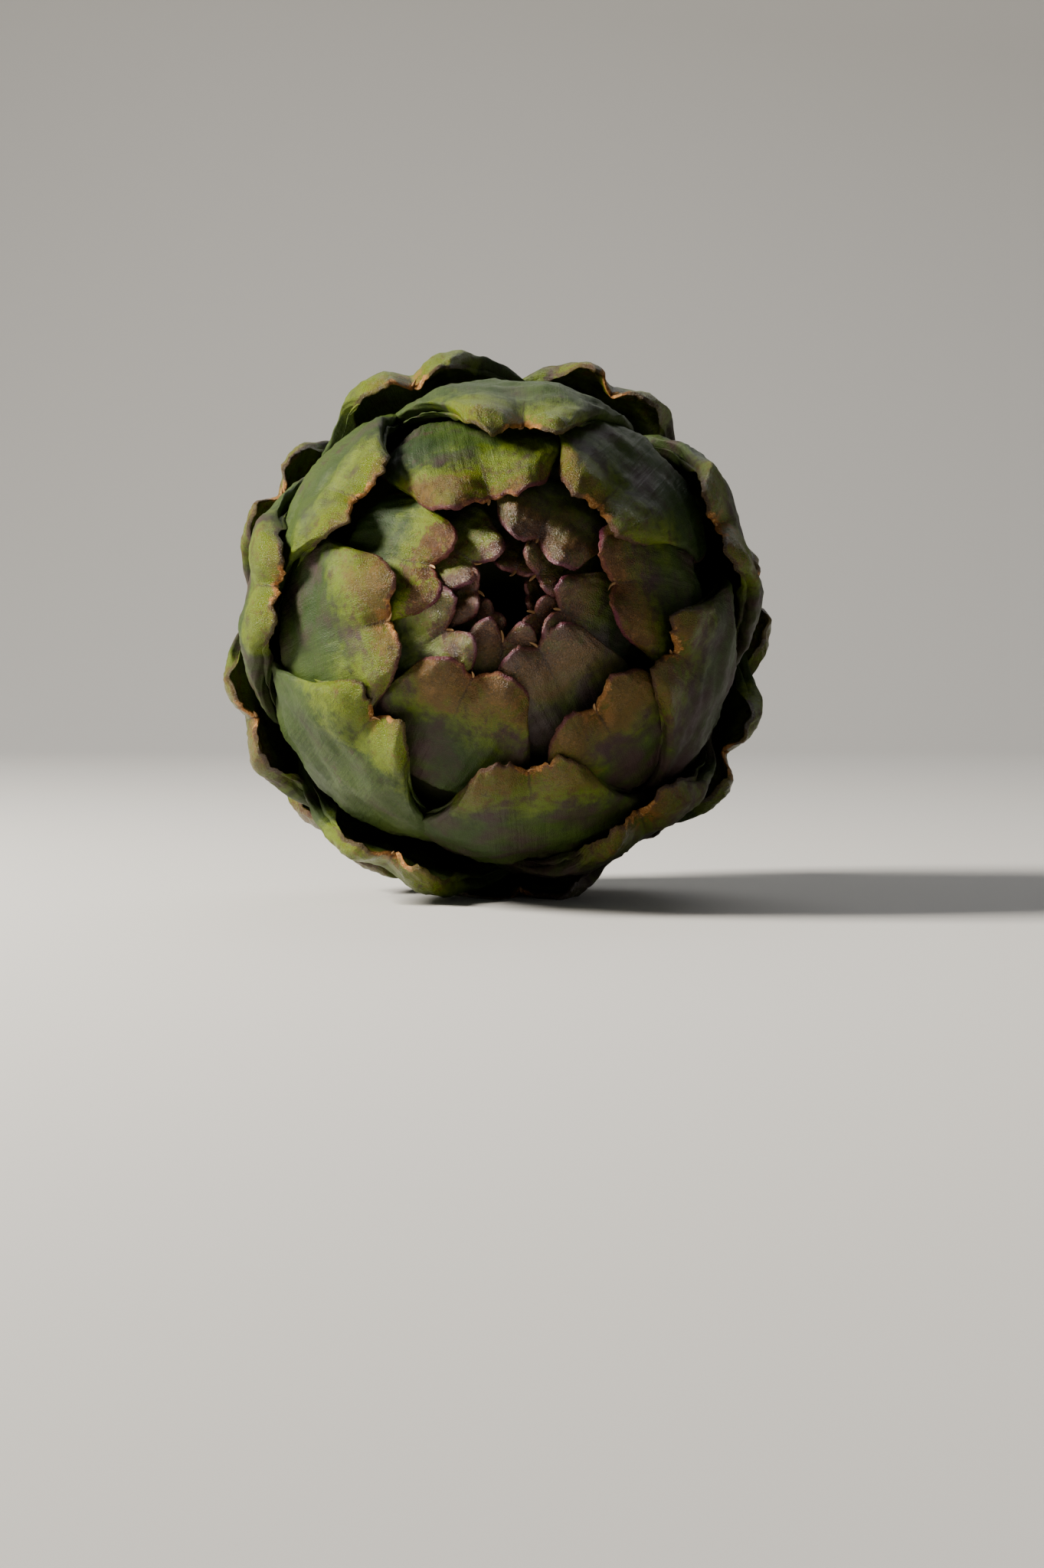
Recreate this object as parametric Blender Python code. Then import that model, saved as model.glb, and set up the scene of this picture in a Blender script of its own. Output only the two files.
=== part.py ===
"""A whole globe artichoke lying on its side, tip towards -Y, in metres with +Z up.

The head is one body: scale-like bracts set in a clockwise golden-angle spiral round a fleshy
core, each one a thick plate with a notched, two-lobed tip. The cut stem stub is its own piece.
The head is shaped upright about its own axis and then laid down as a whole.
"""

import math
import random

import bmesh
import bpy
import numpy as np
from mathutils import Matrix, Vector

# Driving dimensions, metres and degrees
HEAD_RADIUS = 0.05
TOP_HEIGHT = 0.0505  # widest plane to the crown
BASE_HEIGHT = 0.048  # widest plane to the underside
BASE_FULLNESS = 2.6  # superellipse exponent of the bowl-shaped lower half
WIDEST_Z = 0.051  # above the stem's cut end, along the head's own axis
STEM_RADIUS = 0.0105
STEM_LENGTH = 0.0085
STEM_TAPER = 0.97
STEM_SOCKET_DEPTH = 0.0088
PIECE_GAP = 0.0003
AXIS_LIFT = 6.5  # the tip points this far above level
AXIS_TURN = 2.0  # and this far towards +X
REST_FLAT_DEPTH = 0.0019  # how much the head's lowest bracts are flattened by its weight

# Bract spiral
BRACT_COUNT = 44
GOLDEN_ANGLE = 137.5
SPIRAL_START = 4.0
# Where the tips of bracts 0 to 31 lie, in degrees from the crown
TIP_ANGLES = (3.2, 3.6, 4.1, 5.0, 5.6, 5.6, 5.0, 6.0, 7.5, 9.3, 8.9, 9.3, 12.1, 18.1, 14.5, 17.8,
              24.3, 21.0, 22.0, 32.0, 34.3, 31.0, 32.0, 32.0, 55.0, 50.0, 51.0, 70.0, 69.0, 85.0, 81.0,
              80.0)
OUTER_START = 84.0  # the bracts beyond those are spaced evenly from here
OUTER_STEP = 4.8
# How far bracts 2 to 32 lean off the exact spiral, in degrees
LEANS = (-12, 12, 0, 0, 3, 14, 0, 3, -8, 6, 3, -8, 8, 0, -16, 4,
         -5, 5, 10, -13, 1, 3, 0, 8, -7, -6, -3, -6, 2, 2, -9)
FIRST_LEAN = 2
# Half widths of bracts 0 to 31 at their lobes, in millimetres
HALF_WIDTHS = (4, 4.5, 5, 5.5, 6, 6.3, 6.6, 7.4, 8.2, 9.2, 9.6, 10, 9.8, 11.5, 11.8, 13, 13, 16, 15, 18,
               18, 18, 18.5, 20, 20, 20, 20, 21, 21, 20, 21, 20)
# How deep the notches of bracts 0 to 17 are, as shares of the half width
NOTCHES = (0.12, 0.12, 0.12, 0.15, 0.15, 0.12, 0.52, 0.32, 0.33, 0.4, 0.32, 0.16, 0.34, 0.2, 0.2, 0.17, 0.27, 0.25)
WIDEST_BRACT = 0.021
SEED = 11

# Bract outline, as shares of its half width
LENGTH_SHARE = 3.1
LAST_ROOT_ANGLE = 168.0  # no root runs past this angle from the crown, into the stem
NOTCH_HALF_WIDTH = 0.34
NOTCH_DEPTH = 0.27
NOTCH_DEPTH_SPREAD = 0.06
NOTCH_SHARPNESS = 1.3
SHOULDER_DROP = 0.85
POINTED_FROM, POINTED_COUNT = 15, 6  # from the first of these bracts on, tips grow more pointed
POINTED_DROP, POINTED_POWER = 0.5, 1.2
POINTED_TAPER, TAPER_REACH = 0.25, 0.4
UNEVEN_LOBES = 0.14
CROWN_WIDENING = 0.5  # how much wider a bract gets behind its lobes, at the crown
OUTER_WIDENING = 0.65  # and from bract 22 on
WIDENING_COUNT = 22
WIDEST_AT = 0.95
SWELL_POWER = 1.3
ROOT_NARROWING = 0.25
ROOM_AROUND_STEM = 0.85  # below the widest plane a bract stays this share of the local radius to each side
CORNER_POWER = 3  # how squarely the distances to the tip and to the side are joined
LEAST_DISTANCE = 1e-6

# Bract relief
STEP_DOWN, STEP_SHARE, STEP_LENGTH = 0.0012, 0.12, 1.7  # how far a bract dips under the next ones
STEP_POWER = 3
CROWN_SLOPE = 0.48
CROWN_SLOPE_COUNT = 9
BEND = 0.012
BEND_SPREAD = 0.5
CROWN_SINK = 0.005
CROWN_SINK_COUNT = 4
TUCK = 0.0028  # the outermost tips bend in this much, pressed against the head
TUCK_START = 38.0
TUCK_SPAN = 20.0
TUCK_LENGTH = 0.014
FLARE, LEAST_FLARE = 0.001, -0.5
FLARE_LENGTH = 0.01
ROLL = 7.0
CUP, CUP_SHARE, CUP_POWER = 0.0006, 0.045, 2.4
POINTED_CUP = 0.06
CURL, CURL_SHARE = 0.0005, 0.045
CURL_REACH = 0.42
GROOVE, GROOVE_HALF_WIDTH, GROOVE_LENGTH = 0.1, 0.15, 0.7
CHEEK, CHEEK_PLACE, CHEEK_HALF_WIDTH, CHEEK_LENGTH = 0.075, 0.48, 0.27, 0.7
PLUNGE, PLUNGE_START = 0.012, 0.78

# The body under the bracts
LIP_THICKNESS = 0.0016
LIP_LENGTH = 0.0022
LIP_FADE = 0.003
ROOT_DEPTH = 0.0135  # the underside's depth below the outline, inside the core
CORE_DEPTH = 0.0095
CORE_POLE_SHARE = 0.55
CROWN_PIT_DEPTH = 0.020
CROWN_PIT_ANGLE = 10.5

# Mesh
ACROSS = 8
ALONG = 6
TIP_CROWDING = 1.4
CORE_SEGMENTS, CORE_RINGS = 24, 18
STEM_SEGMENTS = 24
FLOOR_CUTTER_SIZE = 0.4


def outline_radius(polar):
    """Distance from the head's centre to its outline, for polar angles in radians from the crown."""
    sine = np.abs(np.sin(polar))
    cosine = np.abs(np.cos(polar))
    dome = ((sine / HEAD_RADIUS) ** 2 + (cosine / TOP_HEIGHT) ** 2) ** -0.5
    bowl = ((sine / HEAD_RADIUS) ** BASE_FULLNESS
            + (cosine / BASE_HEIGHT) ** BASE_FULLNESS) ** (-1 / BASE_FULLNESS)
    return np.where(np.cos(polar) >= 0, dome, bowl)


def tip_angle(index):
    """Angle in degrees from the crown to a bract's tip."""
    if index < len(TIP_ANGLES):
        return TIP_ANGLES[index]
    return OUTER_START + OUTER_STEP * (index - len(TIP_ANGLES) + 1)


def half_width_of(index):
    if index < len(HALF_WIDTHS):
        return HALF_WIDTHS[index] / 1000
    return WIDEST_BRACT * math.sin(math.radians(tip_angle(index))) ** 0.5


def notch_of(index):
    return NOTCHES[index] if index < len(NOTCHES) else NOTCH_DEPTH


def lean_of(index):
    if FIRST_LEAN <= index < FIRST_LEAN + len(LEANS):
        return LEANS[index - FIRST_LEAN]
    return 0.0


def bract_settings():
    """The place, size and small irregularities of every bract, innermost first."""
    draw = random.Random(SEED)
    settings = []
    for index in range(BRACT_COUNT):
        polar = tip_angle(index)
        half_width = half_width_of(index)
        tucked = max(0.0, min(1.0, (polar - TUCK_START) / TUCK_SPAN))
        grown = min(1.0, index / WIDENING_COUNT)
        settings.append({
            "turn": math.radians(SPIRAL_START - GOLDEN_ANGLE * index + lean_of(index)),
            "polar": math.radians(polar),
            "half_width": half_width,
            "length": min(half_width * LENGTH_SHARE, math.radians(LAST_ROOT_ANGLE - polar) * HEAD_RADIUS),
            "widening": CROWN_WIDENING + (OUTER_WIDENING - CROWN_WIDENING) * grown,
            "pointed": max(0.0, min(1.0, (index - POINTED_FROM) / POINTED_COUNT)),
            "slope": CROWN_SLOPE * math.exp(-index / CROWN_SLOPE_COUNT),
            "bend": BEND * (1 + BEND_SPREAD * draw.uniform(-1, 1)),
            "sink": CROWN_SINK * math.exp(-index / CROWN_SINK_COUNT),
            "tuck": TUCK * tucked,
            "flare": FLARE * grown * draw.uniform(LEAST_FLARE, 1),
            "roll": math.radians(ROLL) * draw.uniform(-1, 1),
            "notch": half_width * (notch_of(index) + NOTCH_DEPTH_SPREAD * draw.uniform(-1, 1)),
            "uneven": half_width * UNEVEN_LOBES * draw.uniform(-1, 1),
        })
    return settings


def tip_edge(p, bract):
    """How far the tip's edge lies back from its furthest reach, at p from -1 to 1 across."""
    side = np.abs(p)
    notch = bract["notch"] * np.clip(1 - side / NOTCH_HALF_WIDTH, 0, 1) ** NOTCH_SHARPNESS
    outward = np.clip((side - NOTCH_HALF_WIDTH) / (1 - NOTCH_HALF_WIDTH), 0, 1)
    rounded = SHOULDER_DROP * (1 - np.sqrt(1 - outward ** 2))
    shoulder = bract["half_width"] * (rounded + POINTED_DROP * bract["pointed"] * outward ** POINTED_POWER)
    return notch + shoulder + bract["uneven"] * p


def spread_out(p, q, bract):
    """How far points lie across the bract, back from its tip and in from its edge."""
    half_width = bract["half_width"]
    swell = np.sin(np.pi * np.clip(q / WIDEST_AT, 0, 1)) ** SWELL_POWER
    profile = 1 + bract["widening"] * swell - ROOT_NARROWING * q * q
    profile = profile * (1 - POINTED_TAPER * bract["pointed"] * np.clip(1 - q / TAPER_REACH, 0, 1) ** 2)
    edge = tip_edge(p, bract)
    back = edge * (1 - q) + bract["length"] * q
    local = HEAD_RADIUS * np.sin(np.maximum(bract["polar"] + back / HEAD_RADIUS, math.pi / 2))
    profile = np.minimum(profile, ROOM_AROUND_STEM * local / half_width)
    to_tip = np.maximum(back - edge, LEAST_DISTANCE)
    to_side = np.maximum((1 - np.abs(p)) * half_width * profile, LEAST_DISTANCE)
    inward = (to_tip ** -CORNER_POWER + to_side ** -CORNER_POWER) ** (-1 / CORNER_POWER)
    return p * half_width * profile, back, inward


def outer_depth(p, q, back, inward, bract):
    """How deep the bract's outer face lies below the head's outline."""
    half_width = bract["half_width"]
    share = back / half_width
    levelled = share / (1 + (share / STEP_LENGTH) ** STEP_POWER) ** (1 / STEP_POWER)
    step = (STEP_DOWN + STEP_SHARE * half_width) * levelled
    drop = step + half_width * (bract["slope"] * share + bract["bend"] * share * share)
    tuck = bract["tuck"] * np.clip(1 - back / TUCK_LENGTH, 0, 1) ** 2
    cup = CUP + (CUP_SHARE + POINTED_CUP * bract["pointed"]) * half_width
    cup = cup * np.abs(p) ** CUP_POWER
    curl = (CURL + CURL_SHARE * half_width) * np.clip(1 - inward / (CURL_REACH * half_width), 0, 1) ** 2
    groove = GROOVE * half_width * np.exp(-(p / GROOVE_HALF_WIDTH) ** 2 - share / GROOVE_LENGTH)
    offset = (np.abs(p) - CHEEK_PLACE) / CHEEK_HALF_WIDTH
    cheek = CHEEK * half_width * np.exp(-offset ** 2 - share / CHEEK_LENGTH)
    lift = bract["flare"] * np.exp(-back / FLARE_LENGTH)
    plunge = PLUNGE * np.clip((q - PLUNGE_START) / (1 - PLUNGE_START), 0, 1) ** 2
    return bract["sink"] + drop + tuck + cup + curl + groove + plunge - cheek - lift


def wrap(across, back, depth, bract):
    """Bends points onto the upright head, at their depth below its outline."""
    swing = (across + back * math.sin(bract["roll"])) / HEAD_RADIUS
    polar = bract["polar"] + back / HEAD_RADIUS
    turn = bract["turn"]
    meridian = np.stack([np.sin(polar) * math.cos(turn), np.sin(polar) * math.sin(turn), np.cos(polar)], -1)
    sideways = np.array([-math.sin(turn), math.cos(turn), 0.0])
    direction = np.cos(swing)[..., None] * meridian + np.sin(swing)[..., None] * sideways
    reach = outline_radius(np.arccos(np.clip(direction[..., 2], -1, 1))) - depth
    return direction * reach[..., None] + np.array([0.0, 0.0, WIDEST_Z])


def plate_points(p, q, bract, under):
    """A thick bract: its underside is a thin lip at the tip and lies buried in the core behind it."""
    across, back, inward = spread_out(p, q, bract)
    depth = outer_depth(p, q, back, inward, bract)
    if under:
        buried = np.clip((inward - LIP_LENGTH) / LIP_FADE, 0, 1)
        root = ROOT_DEPTH + bract["sink"]
        lip = depth + LIP_THICKNESS
        depth = np.maximum(lip, lip * (1 - buried) + root * buried)
    return wrap(across, back, depth, bract)


def add_mesh_object(name, bm, collection, material=None):
    bmesh.ops.recalc_face_normals(bm, faces=bm.faces)
    mesh = bpy.data.meshes.new(name)
    bm.to_mesh(mesh)
    bm.free()
    if material:
        mesh.materials.append(material)
    made = bpy.data.objects.new(name, mesh)
    collection.objects.link(made)
    return made


def add_bract(index, bract, collection):
    """One bract: a grid bent over the head's outline and thickened down into the core."""
    bm = bmesh.new()
    bmesh.ops.create_grid(bm, x_segments=ACROSS, y_segments=ALONG, size=1.0)
    upper = bm.verts[:]
    extruded = bmesh.ops.extrude_face_region(bm, geom=bm.faces[:])
    lower = [item for item in extruded["geom"] if isinstance(item, bmesh.types.BMVert)]
    for vertices, under in ((upper, False), (lower, True)):
        p = np.sin([vertex.co.x * math.pi / 2 for vertex in vertices])
        q = np.array([(vertex.co.y + 1) / 2 for vertex in vertices]) ** TIP_CROWDING
        for vertex, point in zip(vertices, plate_points(p, q, bract, under)):
            vertex.co = point
    bmesh.ops.triangulate(bm, faces=bm.faces)
    add_mesh_object(f"bract_{index}", bm, collection)


def core_reach(polar):
    """Distance from the head's centre to the core's surface, with the pit at the crown."""
    share = CORE_POLE_SHARE + (1 - CORE_POLE_SHARE) * abs(math.sin(polar)) ** 0.5
    pit = CROWN_PIT_DEPTH * math.exp(-(math.degrees(polar) / CROWN_PIT_ANGLE) ** 2)
    return float(outline_radius(polar)) - CORE_DEPTH * share - pit


def add_core(material, collection):
    """The fleshy heart under the bracts, with the dark pit between the innermost tips."""
    bm = bmesh.new()
    bmesh.ops.create_uvsphere(bm, u_segments=CORE_SEGMENTS, v_segments=CORE_RINGS, radius=1.0)
    for vertex in bm.verts:
        polar = math.acos(max(-1.0, min(1.0, vertex.co.normalized().z)))
        vertex.co = vertex.co.normalized() * core_reach(polar) + Vector((0, 0, WIDEST_Z))
    return add_mesh_object("bract_head", bm, collection, material)


def apply_boolean(target, operation, cutter=None, collection=None):
    boolean = target.modifiers.new(operation.title(), "BOOLEAN")
    boolean.operation = operation
    boolean.solver = "MANIFOLD"
    if collection:
        boolean.operand_type = "COLLECTION"
        boolean.collection = collection
    else:
        boolean.object = cutter
    graph = bpy.context.evaluated_depsgraph_get()
    made = bpy.data.meshes.new_from_object(target.evaluated_get(graph))
    target.modifiers.clear()
    target.data = made


def drop_loose_shells(target):
    """Keeps the one outer body, and drops closed hollows and scraps that the union leaves."""
    bm = bmesh.new()
    bm.from_mesh(target.data)
    left = set(bm.faces)
    shells = []
    while left:
        shell = set()
        queue = [left.pop()]
        while queue:
            face = queue.pop()
            shell.add(face)
            for other in {linked for edge in face.edges for linked in edge.link_faces} & left:
                left.remove(other)
                queue.append(other)
        shells.append(shell)
    body = max(shells, key=len)
    loose = [face for face in bm.faces if face not in body]
    bmesh.ops.delete(bm, geom=loose, context="FACES")
    bm.to_mesh(target.data)
    bm.free()


def laid_down():
    """The rotation that lays the upright head on its side."""
    lift, turn = math.radians(AXIS_LIFT), math.radians(AXIS_TURN)
    axis = Vector((math.sin(turn) * math.cos(lift), -math.cos(turn) * math.cos(lift), math.sin(lift)))
    right = Vector((0, 0, 1)).cross(axis).normalized()
    up = axis.cross(right)
    return Matrix((right, up, axis)).transposed().to_4x4()


def add_material(name, colour, roughness):
    material = bpy.data.materials.new(name)
    material.use_nodes = True
    shader = material.node_tree.nodes["Principled BSDF"]
    shader.inputs["Base Color"].default_value = (*colour, 1.0)
    shader.inputs["Roughness"].default_value = roughness
    shader.inputs["Metallic"].default_value = 0.0
    return material


def add_stem(material, collection):
    """The cut stub: a short tapered plug in the socket under the head."""
    bm = bmesh.new()
    bmesh.ops.create_cone(bm, cap_ends=True, segments=STEM_SEGMENTS, radius1=STEM_RADIUS * STEM_TAPER,
                          radius2=STEM_RADIUS, depth=STEM_LENGTH)
    bmesh.ops.translate(bm, verts=bm.verts, vec=(0, 0, STEM_LENGTH / 2))
    return add_mesh_object("stem_stub", bm, collection, material)


def add_cutter(name, bm, collection):
    cutter = add_mesh_object(name, bm, collection)
    cutter.hide_render = True
    cutter.display_type = "WIRE"
    return cutter


def main():
    for old in list(bpy.data.objects):
        bpy.data.objects.remove(old)
    artichoke = bpy.data.collections.new("artichoke")
    cutters = bpy.data.collections.new("cutters")
    loose_bracts = bpy.data.collections.new("loose_bracts")
    for collection in (artichoke, cutters, loose_bracts):
        bpy.context.scene.collection.children.link(collection)
    green = add_material("bract_green", (0.16, 0.2, 0.06), 0.5)
    fibre = add_material("stem_fibre", (0.45, 0.42, 0.22), 0.7)

    head = add_core(green, artichoke)
    for index, bract in enumerate(bract_settings()):
        add_bract(index, bract, loose_bracts)
    bpy.context.view_layer.update()
    apply_boolean(head, "UNION", collection=loose_bracts)
    for bract in list(loose_bracts.objects):
        bpy.data.objects.remove(bract)
    bpy.data.collections.remove(loose_bracts)
    drop_loose_shells(head)

    socket = bmesh.new()
    bmesh.ops.create_cone(socket, cap_ends=True, segments=STEM_SEGMENTS, radius1=STEM_RADIUS + PIECE_GAP,
                          radius2=STEM_RADIUS + PIECE_GAP, depth=2 * STEM_SOCKET_DEPTH)
    socket_cutter = add_cutter("socket_cutter", socket, cutters)
    bpy.context.view_layer.update()
    apply_boolean(head, "DIFFERENCE", cutter=socket_cutter)
    stem = add_stem(fibre, artichoke)

    turn = laid_down()
    head.data.transform(turn)
    stem.data.transform(turn)
    low = min(vertex.co.z for vertex in head.data.vertices) + REST_FLAT_DEPTH
    floor = bmesh.new()
    bmesh.ops.create_cube(floor, size=FLOOR_CUTTER_SIZE)
    bmesh.ops.translate(floor, verts=floor.verts, vec=(0, 0, low - FLOOR_CUTTER_SIZE / 2))
    floor_cutter = add_cutter("floor_cutter", floor, cutters)
    bpy.context.view_layer.update()
    apply_boolean(head, "DIFFERENCE", cutter=floor_cutter)
    drop_loose_shells(head)

    points = np.array([vertex.co[:] for made in (head, stem) for vertex in made.data.vertices])
    centre = (points.min(0) + points.max(0)) / 2
    shift = Matrix.Translation((-centre[0], -centre[1], -low))
    for made in (head, stem):
        made.data.transform(shift)
        made.data.shade_smooth()
    print("head triangles", sum(len(face.vertices) - 2 for face in head.data.polygons))


main()
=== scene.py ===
# %% [markdown]
# An artichoke head is a big flower bud: some forty thick scales, called bracts, wrapped round a
# fleshy heart. This notebook dresses a packed model of one. The packed pieces come in as a fixed
# frame, and everything made here is fitted to them, in metres, with +Z up.

# %% The frame
import math
import random
from types import SimpleNamespace

import bmesh
import bpy
import numpy as np
from mathutils import Matrix, Vector, noise


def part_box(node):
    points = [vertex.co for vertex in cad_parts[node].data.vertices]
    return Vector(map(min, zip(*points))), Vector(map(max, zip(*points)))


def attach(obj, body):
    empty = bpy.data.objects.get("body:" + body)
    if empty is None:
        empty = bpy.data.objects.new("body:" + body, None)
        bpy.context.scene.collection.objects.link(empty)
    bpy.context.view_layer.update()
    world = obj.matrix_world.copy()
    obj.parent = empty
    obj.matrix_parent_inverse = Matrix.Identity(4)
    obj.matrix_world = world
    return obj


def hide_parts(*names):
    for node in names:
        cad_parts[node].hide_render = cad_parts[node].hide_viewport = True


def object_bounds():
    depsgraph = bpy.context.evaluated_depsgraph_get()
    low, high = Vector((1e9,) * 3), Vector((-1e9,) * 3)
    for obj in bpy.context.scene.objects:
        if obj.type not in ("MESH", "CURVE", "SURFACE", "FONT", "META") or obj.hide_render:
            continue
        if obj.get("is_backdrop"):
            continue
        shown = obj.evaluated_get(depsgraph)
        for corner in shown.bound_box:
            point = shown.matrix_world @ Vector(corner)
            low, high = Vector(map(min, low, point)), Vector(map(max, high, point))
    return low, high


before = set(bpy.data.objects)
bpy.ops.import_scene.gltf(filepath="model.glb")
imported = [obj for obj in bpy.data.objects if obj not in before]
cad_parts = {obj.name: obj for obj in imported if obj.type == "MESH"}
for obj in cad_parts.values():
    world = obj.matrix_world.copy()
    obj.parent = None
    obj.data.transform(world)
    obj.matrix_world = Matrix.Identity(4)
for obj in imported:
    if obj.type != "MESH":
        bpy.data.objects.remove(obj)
cad_low, cad_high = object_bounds()
head_width = cad_high[0] - cad_low[0]
print("the frame is", [round(1000 * (high - low), 1) for low, high in zip(cad_low, cad_high)], "mm")

# %% [markdown]
# The head is shaped upright about its own axis and then laid on its side, with the tip towards the
# camera. It could be traced bract by bract, but a real bud follows a rule, and the same rule with
# the same values gives bracts that lie exactly where the packed ones do.

# %% The bud's outline
HEAD_RADIUS = 0.05
TOP_HEIGHT = 0.0505
BASE_HEIGHT = 0.048
BASE_FULLNESS = 2.6
WIDEST_Z = 0.051


def outline_radius(polar):
    """Distance from the head's centre to its outline, for polar angles in radians from the crown."""
    sine = np.abs(np.sin(polar))
    cosine = np.abs(np.cos(polar))
    dome = ((sine / HEAD_RADIUS) ** 2 + (cosine / TOP_HEIGHT) ** 2) ** -0.5
    bowl = ((sine / HEAD_RADIUS) ** BASE_FULLNESS
            + (cosine / BASE_HEIGHT) ** BASE_FULLNESS) ** (-1 / BASE_FULLNESS)
    return np.where(np.cos(polar) >= 0, dome, bowl)


print("height of the outline", round(1000 * (TOP_HEIGHT + BASE_HEIGHT), 1), "mm")

# %% [markdown]
# Each new bract grows a golden angle on from the last, so five of them make almost two turns and
# each tip falls in the gap between two older ones. Near the crown the tips crowd round a dark
# hole, and further out they spread evenly. Real buds stray a little from the rule, so the bracts
# that face the camera have leans and widths of their own, judged from the photograph. Those
# behind the blurred edge are guessed, and the last lean brings bract 32, which the head lies on,
# under its weight.

# %% The spiral
BRACT_COUNT = 44
GOLDEN_ANGLE = 137.5
SPIRAL_START = 4.0
TIP_ANGLES = (3.2, 3.6, 4.1, 5.0, 5.6, 5.6, 5.0, 6.0, 7.5, 9.3, 8.9, 9.3, 12.1, 18.1, 14.5, 17.8,
              24.3, 21.0, 22.0, 32.0, 34.3, 31.0, 32.0, 32.0, 55.0, 50.0, 51.0, 70.0, 69.0, 85.0, 81.0,
              80.0)
OUTER_START = 84.0
OUTER_STEP = 4.8
LEANS = (-12, 12, 0, 0, 3, 14, 0, 3, -8, 6, 3, -8, 8, 0, -16, 4,
         -5, 5, 10, -13, 1, 3, 0, 8, -7, -6, -3, -6, 2, 2, -9)
FIRST_LEAN = 2
HALF_WIDTHS = (4, 4.5, 5, 5.5, 6, 6.3, 6.6, 7.4, 8.2, 9.2, 9.6, 10, 9.8, 11.5, 11.8, 13, 13, 16, 15, 18,
               18, 18, 18.5, 20, 20, 20, 20, 21, 21, 20, 21, 20)
NOTCHES = (0.12, 0.12, 0.12, 0.15, 0.15, 0.12, 0.52, 0.32, 0.33, 0.4, 0.32, 0.16, 0.34, 0.2, 0.2, 0.17,
           0.27, 0.25)
NOTCH_DEPTH = 0.27
WIDEST_BRACT = 0.021


def tip_angle(index):
    """Angle in degrees from the crown to a bract's tip."""
    if index < len(TIP_ANGLES):
        return TIP_ANGLES[index]
    return OUTER_START + OUTER_STEP * (index - len(TIP_ANGLES) + 1)


def half_width_of(index):
    if index < len(HALF_WIDTHS):
        return HALF_WIDTHS[index] / 1000
    return WIDEST_BRACT * math.sin(math.radians(tip_angle(index))) ** 0.5


def notch_of(index):
    return NOTCHES[index] if index < len(NOTCHES) else NOTCH_DEPTH


def lean_of(index):
    if FIRST_LEAN <= index < FIRST_LEAN + len(LEANS):
        return LEANS[index - FIRST_LEAN]
    return 0.0


print("tips run from", tip_angle(0), "to", round(tip_angle(BRACT_COUNT - 1), 1), "degrees from the crown")

# %% [markdown]
# A bract's settings say how long and wide it is, how steeply it dips under its neighbours, how
# deep its notch is and how crooked it grew. The draws are seeded, so every run gives the same bud.

# %% Every bract's settings
SEED = 11
LENGTH_SHARE = 3.1
LAST_ROOT_ANGLE = 168.0
CROWN_WIDENING, OUTER_WIDENING, WIDENING_COUNT = 0.5, 0.65, 22
CROWN_SLOPE, CROWN_SLOPE_COUNT = 0.48, 9
BEND, BEND_SPREAD = 0.012, 0.5
CROWN_SINK, CROWN_SINK_COUNT = 0.005, 4
TUCK, TUCK_START, TUCK_SPAN = 0.0028, 38.0, 20.0
FLARE, LEAST_FLARE = 0.001, -0.5
ROLL = 7.0
NOTCH_DEPTH_SPREAD = 0.06
UNEVEN_LOBES = 0.14
POINTED_FROM, POINTED_COUNT = 15, 6


def bract_settings():
    """The place, size and small irregularities of every bract, innermost first."""
    draw = random.Random(SEED)
    settings = []
    for index in range(BRACT_COUNT):
        polar = tip_angle(index)
        half_width = half_width_of(index)
        tucked = max(0.0, min(1.0, (polar - TUCK_START) / TUCK_SPAN))
        grown = min(1.0, index / WIDENING_COUNT)
        settings.append({
            "turn": math.radians(SPIRAL_START - GOLDEN_ANGLE * index + lean_of(index)),
            "polar": math.radians(polar),
            "half_width": half_width,
            "length": min(half_width * LENGTH_SHARE, math.radians(LAST_ROOT_ANGLE - polar) * HEAD_RADIUS),
            "widening": CROWN_WIDENING + (OUTER_WIDENING - CROWN_WIDENING) * grown,
            "pointed": max(0.0, min(1.0, (index - POINTED_FROM) / POINTED_COUNT)),
            "slope": CROWN_SLOPE * math.exp(-index / CROWN_SLOPE_COUNT),
            "bend": BEND * (1 + BEND_SPREAD * draw.uniform(-1, 1)),
            "sink": CROWN_SINK * math.exp(-index / CROWN_SINK_COUNT),
            "tuck": TUCK * tucked,
            "flare": FLARE * grown * draw.uniform(LEAST_FLARE, 1),
            "roll": math.radians(ROLL) * draw.uniform(-1, 1),
            "notch": half_width * (notch_of(index) + NOTCH_DEPTH_SPREAD * draw.uniform(-1, 1)),
            "uneven": half_width * UNEVEN_LOBES * draw.uniform(-1, 1),
            "index": index,
        })
    return settings


bracts = bract_settings()
print(len(bracts), "bracts, the widest", round(2000 * max(bract["half_width"] for bract in bracts)), "mm")

# %% [markdown]
# A tip has two rounded lobes with a notch between them, and falls away in shoulders to the sides.
# Across a bract the place p runs from -1 to 1, and along it q runs from 0 at the tip's edge to 1
# at the root, so one formula draws every size of bract. Towards the outside of the bud the
# shoulders slope more, so that the old tips look pointed. Dried edges are a little ragged and
# finely toothed, most of all by the notch, which smooth noises along the edge give. The youngest
# edges are still whole, so they get less of it.

# %% The edge of a tip
NOTCH_HALF_WIDTH = 0.34
NOTCH_SHARPNESS = 1.3
SHOULDER_DROP = 0.85
POINTED_DROP, POINTED_POWER = 0.5, 1.2
RAGGED, RAGGED_SCALE = 0.05, 4.0
RAGGED_NOTCH, RAGGED_NOTCH_SCALE = 0.07, 13.0
TORN_PLACE, TORN_HALF_WIDTH = 0.25, 0.16  # where along the edge it is most ragged
SERRATION, SERRATION_SCALE = 0.022, 33.0
YOUNG_WEAR, WEAR_COUNT = 0.4, 16
EDGE_SEED_STEP = 3.7


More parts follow.
